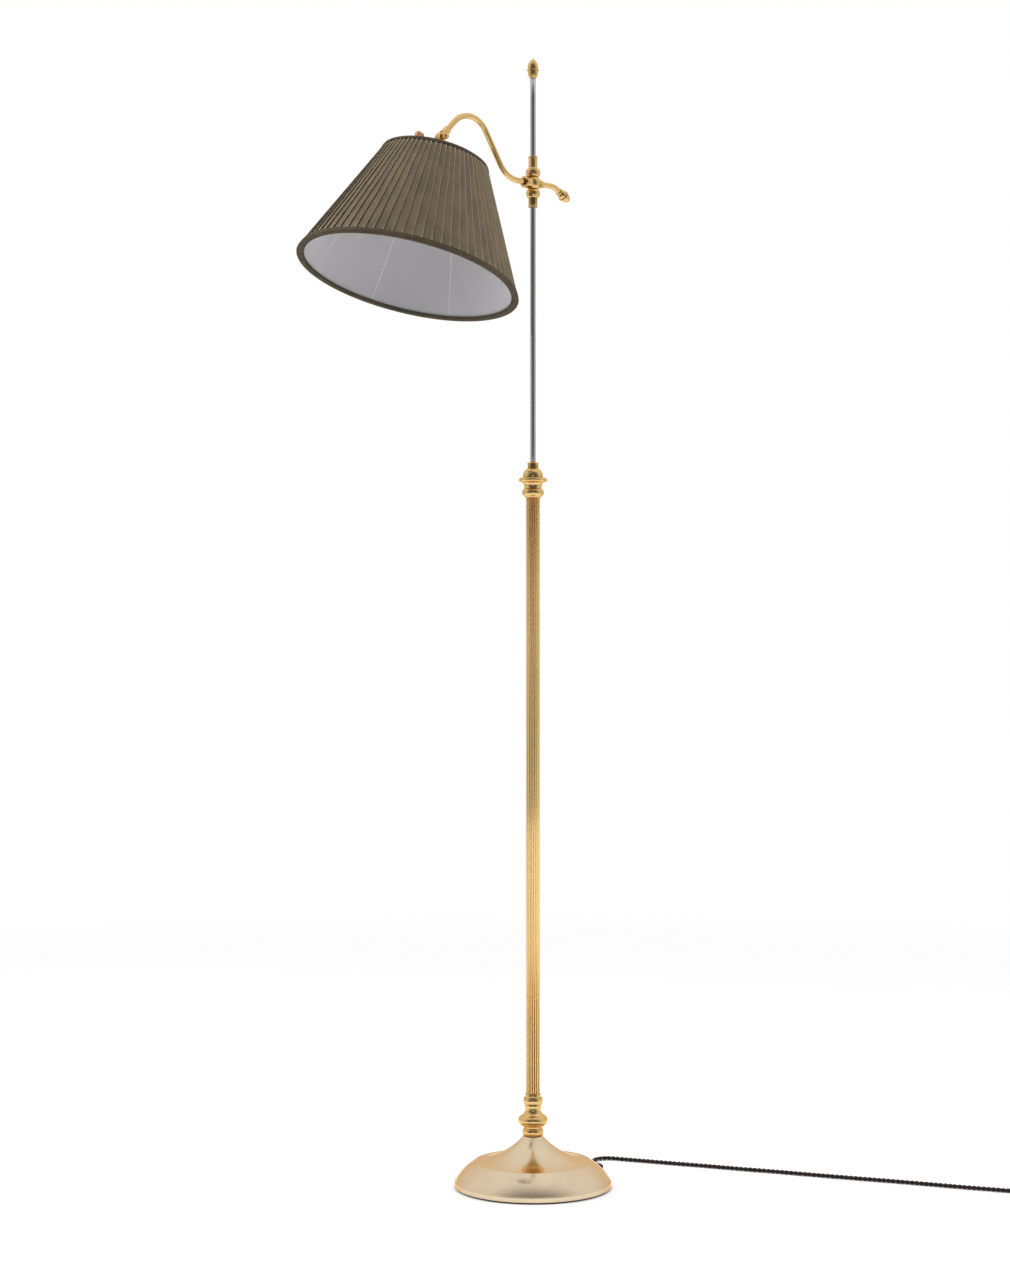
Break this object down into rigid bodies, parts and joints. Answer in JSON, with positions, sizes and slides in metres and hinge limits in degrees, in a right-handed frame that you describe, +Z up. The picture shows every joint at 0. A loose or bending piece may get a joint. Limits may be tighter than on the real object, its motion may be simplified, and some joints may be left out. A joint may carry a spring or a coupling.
{
  "type": "floor lamp",
  "caption": "Pharmacy floor lamp: round weighted base, reeded column, slim rod, sliding head, S-shaped arm and a tilting pleated shade.",
  "frame": {"origin": "centre of the base's underside, on the floor", "axes": "+Z up along the column and rod, -X towards the shade along the arm, +X towards the tail handle and the cord exit"},
  "size_m": [0.9584, 0.6796, 1.55],
  "materials": {
    "pale_brass": "polished",
    "gold_brass": "polished",
    "dark_brass": "satin",
    "copper_knob": "polished",
    "steel_rod": "satin",
    "zinc_steel": "zinc plated",
    "black_steel": "blackened",
    "iron": "as cast",
    "felt": "felt",
    "porcelain": "glazed porcelain",
    "pleated_cloth": "knife-pleated cloth",
    "lining_cloth": "smooth lining",
    "trim_tape": "folded tape",
    "frame_wire": "white enamel",
    "bulb_glass": "frosted",
    "cord_cloth": "twisted braided flex",
    "dark_bakelite": "moulded",
    "nylon": "plain",
    "black_tie": "plain"
  },
  "bodies": {
    "stand": {"base_felt": "felt", "base_weight": "iron", "base_cover": "pale_brass", "base_washer": "zinc_steel", "base_nut": "zinc_steel", "tie_tube": "zinc_steel", "base_knop": "pale_brass", "baluster": "gold_brass", "column": "gold_brass", "column_cap": "gold_brass", "rod_socket": "gold_brass", "rod": "steel_rod", "top_knob": "gold_brass", "stand_wire": "cord_cloth", "cord_relief": "dark_bakelite", "cord_tube": "cord_cloth", "cord_coil": "cord_cloth", "coil_tie": "black_tie", "cord_tail": "cord_cloth", "plug_relief": "dark_bakelite", "plug_body": "dark_bakelite", "plug_pins": "zinc_steel"},
    "slider": {"head_bush": "nylon", "head_bush_ring": "gold_brass", "head_sleeve": "gold_brass", "head_set_screw": "black_steel"},
    "head": {"head_body": "gold_brass", "arm_collar": "gold_brass", "tail_tube": "gold_brass", "tail_ring": "gold_brass", "tail_knob": "gold_brass"},
    "arm": {"arm_stub": "dark_brass", "arm_tube": "gold_brass", "arm_wire": "cord_cloth", "arm_fork": "gold_brass", "pivot_screw": "gold_brass", "pivot_nut": "gold_brass"},
    "shade": {"holder_knuckle": "gold_brass", "holder_cap": "gold_brass", "holder_body": "dark_brass", "holder_insert": "porcelain", "switch_bush": "gold_brass", "shade_clamp_ring": "dark_brass", "shade_carrier": "frame_wire", "top_ring": "frame_wire", "shade_ribs": "frame_wire", "mouth_ring": "frame_wire", "shade_cover": "pleated_cloth", "shade_lining": "lining_cloth", "mouth_trim": "trim_tape", "top_trim": "trim_tape", "bulb_cap": "zinc_steel", "bulb_glass": "bulb_glass"},
    "key": {"switch_key": "copper_knob"}
  },
  "joints": [
    {"name": "head_slide", "type": "slide", "parent": "stand", "child": "slider", "axis": [0, 0, 1], "range_m": [-0.345, 0.105]},
    {"name": "head_swivel", "type": "hinge", "parent": "slider", "child": "head", "pos_m": [0, 0, 1.379], "axis": [0, 0, 1], "range_deg": [-170, 170]},
    {"name": "arm_roll", "type": "hinge", "parent": "head", "child": "arm", "pos_m": [-0.012, 0, 1.379], "axis": [1, 0, 0], "range_deg": [-60, 60]},
    {"name": "shade_tilt", "type": "hinge", "parent": "arm", "child": "shade", "pos_m": [-0.1687, 0, 1.41983], "axis": [0, 1, 0], "range_deg": [-15, 45]},
    {"name": "switch_turn", "type": "hinge", "parent": "shade", "child": "key", "pos_m": [-0.19192, 0, 1.41229], "axis": [-0.9563, 0, 0.2924], "continuous": true}
  ]
}
